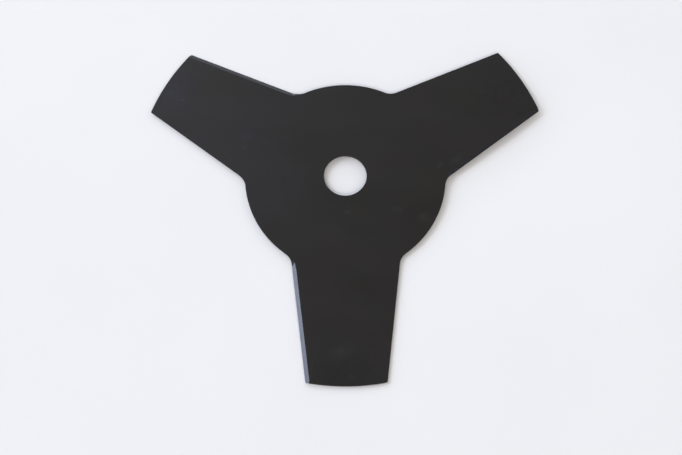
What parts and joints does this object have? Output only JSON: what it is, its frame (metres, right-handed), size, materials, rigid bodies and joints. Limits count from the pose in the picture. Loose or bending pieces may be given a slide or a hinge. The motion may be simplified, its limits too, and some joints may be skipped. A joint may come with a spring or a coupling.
{
  "type": "brush cutter blade",
  "caption": "Flat three-arm brush cutter blade with a round hub, a central bore and ground edges along tapered arms, in a dark coat.",
  "frame": {"origin": "on the axis of the bore, at the lower face that the blade rests on", "axes": "+Z along the axis of the bore, out of the upper face; the first arm points along -Y and the others lie at 30 and 150 degrees from +X"},
  "size_m": [0.2354, 0.206, 0.0014],
  "materials": {
    "dark_coat": "satin"
  },
  "bodies": {
    "root": {"blade": "dark_coat"}
  },
  "joints": []
}
